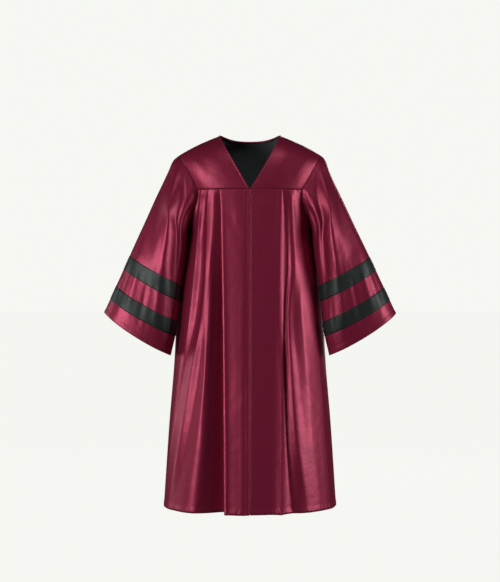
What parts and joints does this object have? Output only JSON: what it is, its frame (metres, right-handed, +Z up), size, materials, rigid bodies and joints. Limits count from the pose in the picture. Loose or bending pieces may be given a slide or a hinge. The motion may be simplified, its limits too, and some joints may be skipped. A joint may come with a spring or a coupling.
{
  "type": "graduation gown",
  "caption": "Long pleated satin gown with a yoke, V neck, closed front zip and open bell sleeves with black bars, standing hollow as worn.",
  "frame": {"origin": "midway between the two neck points, at the height of the shoulder line, where the wearer's shoulders hold it", "axes": "+X toward the wearer's left, -Y out of the front, +Z up"},
  "size_m": [1.0062, 0.4055, 1.2823],
  "materials": {
    "maroon_satin": "maroon polyester satin with a soft sheen",
    "black_satin": "black satin, dull sheen",
    "black_lining": "matte black lining",
    "black_zip": "woven zip tape with a nylon coil"
  },
  "bodies": {
    "root": {"yoke_front_left": "maroon_satin", "yoke_front_right": "maroon_satin", "yoke_back": "maroon_satin", "yoke_lining": "black_lining", "neck_binding_left": "maroon_satin", "neck_binding_right": "maroon_satin", "neck_binding_back": "maroon_satin", "front_left": "maroon_satin", "front_right": "maroon_satin", "back_left": "maroon_satin", "back_right": "maroon_satin", "sleeve_left": "maroon_satin", "sleeve_right": "maroon_satin", "bar_upper_left": "black_satin", "bar_upper_right": "black_satin", "bar_lower_left": "black_satin", "bar_lower_right": "black_satin", "zip": "black_zip"}
  },
  "joints": []
}
